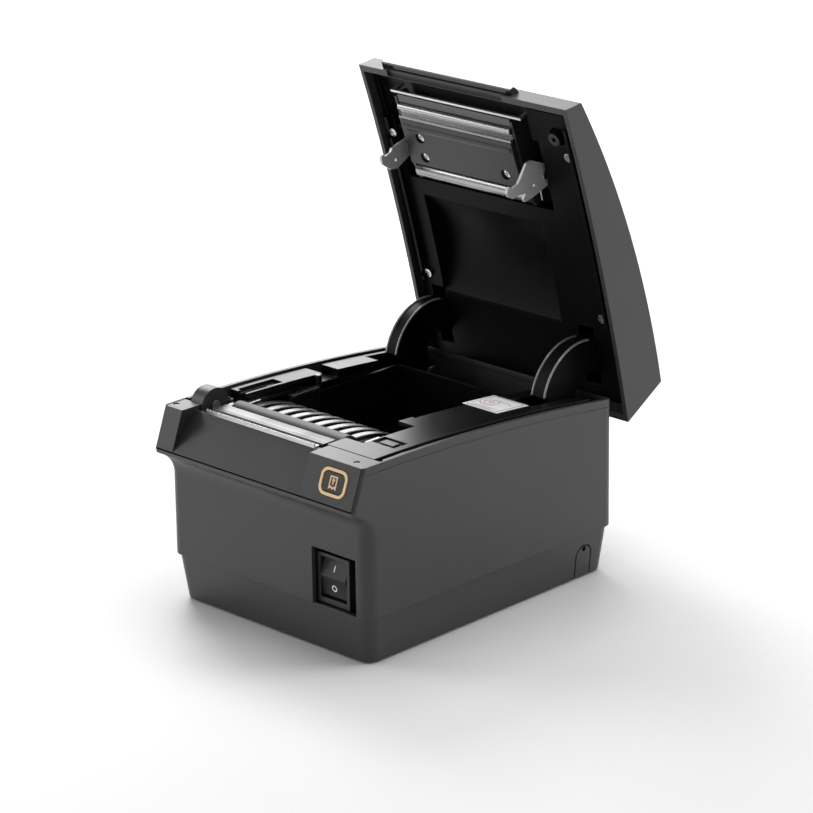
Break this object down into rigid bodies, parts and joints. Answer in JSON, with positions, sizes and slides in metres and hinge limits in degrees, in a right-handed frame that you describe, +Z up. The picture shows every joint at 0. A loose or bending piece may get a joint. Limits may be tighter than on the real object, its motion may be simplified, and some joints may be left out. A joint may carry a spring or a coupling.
{
  "type": "receipt printer",
  "caption": "Counter receipt printer with a hinged top cover, roll bin, platen drive, print head, latch hooks, feed button and power rocker.",
  "frame": {"origin": "centre of the base's footprint, at the height of the table; the tray's underside is 1.2 mm above it", "axes": "+X to the right seen from the front, +Y to the rear, +Z up; stored with the cover open"},
  "size_m": [0.147, 0.2334, 0.2655],
  "materials": {
    "case_plastic": "charcoal moulded plastic with a fine spark-eroded grain",
    "visor_gloss": "black gloss plastic strip",
    "fascia_plastic": "dark smooth plastic, slightly satin",
    "inner_plastic": "black plastic, fine matt grain",
    "deck_plastic": "black plastic, semi-gloss",
    "guide_plastic": "black plastic polished by paper",
    "button_plastic": "black satin plastic",
    "ring_gold": "cream gold printed ring",
    "lens_clear": "smoked lens",
    "steel": "zinc-plated sheet and bar",
    "bright_steel": "bright ground steel",
    "aluminium": "satin anodised",
    "grey_coat": "mid-grey coated sheet",
    "head_face": "dark grey glazed face",
    "screw_steel": "nickel-plated",
    "gear_plastic": "black acetal",
    "bush_plastic": "natural nylon",
    "platen_rubber": "ground platen rubber",
    "foot_rubber": "soft rubber",
    "motor_black": "black plastic",
    "motor_steel": "drawn steel can",
    "board": "green solder mask",
    "port_shell": "tinned connector shell",
    "port_plastic": "black connector plastic",
    "label": "white paper label"
  },
  "bodies": {
    "base": {"base_tray": "case_plastic", "upper_case": "case_plastic", "fascia": "fascia_plastic", "gear_cover": "fascia_plastic", "switch_bezel": "fascia_plastic", "right_deck": "deck_plastic", "left_deck": "deck_plastic", "paper_bin": "inner_plastic", "rear_panel": "inner_plastic", "switch_pocket": "inner_plastic", "paper_guide": "guide_plastic", "near_end_sensor": "guide_plastic", "cover_sensor": "button_plastic", "feed_ring": "ring_gold", "status_lenses": "lens_clear", "chassis": "steel", "guide_strip": "steel", "latch_pins": "steel", "hinge_pins": "steel", "hinge_brackets": "steel", "gear_studs": "steel", "tear_bar": "bright_steel", "tray_screws": "screw_steel", "platen_bearings": "bush_plastic", "board_spacers": "bush_plastic", "rubber_feet": "foot_rubber", "stepper_motor": "motor_steel", "main_board": "board", "feed_switch": "board", "network_port": "port_shell", "data_port": "port_shell", "drawer_port": "port_shell", "dc_inlet": "port_plastic", "deck_label": "label"},
    "cover": {"cover_shell": "case_plastic", "cover_visor": "visor_gloss", "cover_liner": "inner_plastic", "cover_screws": "screw_steel", "head_bracket": "grey_coat", "thermal_head": "head_face", "head_screws": "screw_steel", "heat_sink": "aluminium", "blade_guide": "guide_plastic", "front_guard": "bright_steel", "guide_bar": "aluminium", "cutter_motor": "motor_black", "left_hinge_arm": "inner_plastic", "right_hinge_arm": "inner_plastic"},
    "cutter": {"cutter_blade": "bright_steel"},
    "latch": {"latch_shaft": "steel", "latch_hooks": "bright_steel", "latch_springs": "steel"},
    "platen": {"platen_roller": "platen_rubber", "platen_shaft": "steel", "platen_gear": "gear_plastic"},
    "transfer": {"transfer_gear": "gear_plastic"},
    "idler": {"idler_gear": "gear_plastic"},
    "rotor": {"motor_pinion": "gear_plastic"},
    "button": {"feed_button": "button_plastic"},
    "rocker": {"power_rocker": "button_plastic"}
  },
  "joints": [
    {"name": "cover_hinge", "type": "hinge", "parent": "base", "child": "cover", "pos_m": [0, 0.0863, 0.0815], "axis": [1, 0, 0], "range_deg": [0, 70.8]},
    {"name": "latch_pivot", "type": "hinge", "parent": "cover", "child": "latch", "pos_m": [-0.01, 0.07546, 0.2157], "axis": [1, 0, 0], "range_deg": [0, 10], "stiffness_Nm_per_rad": 0.06, "springref_deg": -14.32},
    {"name": "cutter_stroke", "type": "slide", "parent": "cover", "child": "cutter", "axis": [0, -0.3289, 0.9444], "range_m": [0, 0.006]},
    {"name": "platen_spin", "type": "hinge", "parent": "base", "child": "platen", "pos_m": [0, -0.0615, 0.0985], "axis": [1, 0, 0], "continuous": true},
    {"name": "transfer_spin", "type": "hinge", "parent": "base", "child": "transfer", "pos_m": [-0.0631, -0.07234, 0.10476], "axis": [1, 0, 0], "continuous": true},
    {"name": "idler_spin", "type": "hinge", "parent": "base", "child": "idler", "pos_m": [-0.0631, -0.0615, 0.07958], "axis": [1, 0, 0], "continuous": true},
    {"name": "rotor_spin", "type": "hinge", "parent": "base", "child": "rotor", "pos_m": [-0.0631, -0.0615, 0.06266], "axis": [1, 0, 0], "continuous": true},
    {"name": "feed_press", "type": "slide", "parent": "base", "child": "button", "axis": [0, 0.9374, -0.3483], "range_m": [0, 0.0008], "stiffness_N_per_m": 400, "springref_m": -0.0006},
    {"name": "power_rock", "type": "hinge", "parent": "base", "child": "rocker", "pos_m": [0.04465, -0.0848, 0.0406], "axis": [1, 0, 0], "range_deg": [0, 14]}
  ],
  "couplings": [
    {"joint": "transfer_spin", "follows": "platen_spin", "ratio": -1.2143},
    {"joint": "idler_spin", "follows": "platen_spin", "ratio": -0.56667},
    {"joint": "rotor_spin", "follows": "platen_spin", "ratio": 1.4167}
  ]
}
